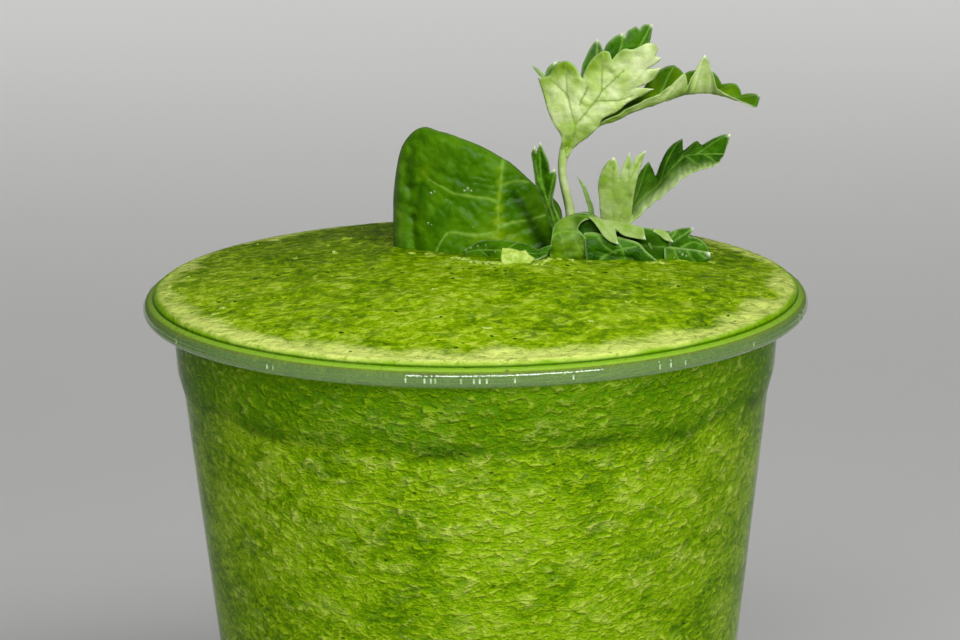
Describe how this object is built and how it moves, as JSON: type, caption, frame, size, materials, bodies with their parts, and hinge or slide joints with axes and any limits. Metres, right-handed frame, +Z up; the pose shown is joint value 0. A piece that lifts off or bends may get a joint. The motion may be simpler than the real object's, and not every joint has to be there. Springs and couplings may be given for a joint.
{
  "type": "green smoothie",
  "caption": "Clear plastic cup filled over its lip with thick, frothy green smoothie and topped with a basil leaf and parsley.",
  "frame": {"origin": "middle of the cup's foot, on the surface that it stands on", "axes": "+Z up along the cup's axis, -Y towards the front, +X to the right, where the parsley leans"},
  "size_m": [0.098, 0.098, 0.1577],
  "materials": {
    "clear_plastic": "clear, smooth, thin moulded plastic",
    "smoothie": "moist, grainy, frothy green drink",
    "basil": "glossy, veined dark green leaf",
    "parsley": "satin green leaf, paler below"
  },
  "bodies": {
    "root": {"cup": "clear_plastic", "smoothie": "smoothie", "basil_leaf": "basil", "parsley_sprig": "parsley", "front_leaf": "parsley", "leaf_strip": "basil"}
  },
  "joints": []
}
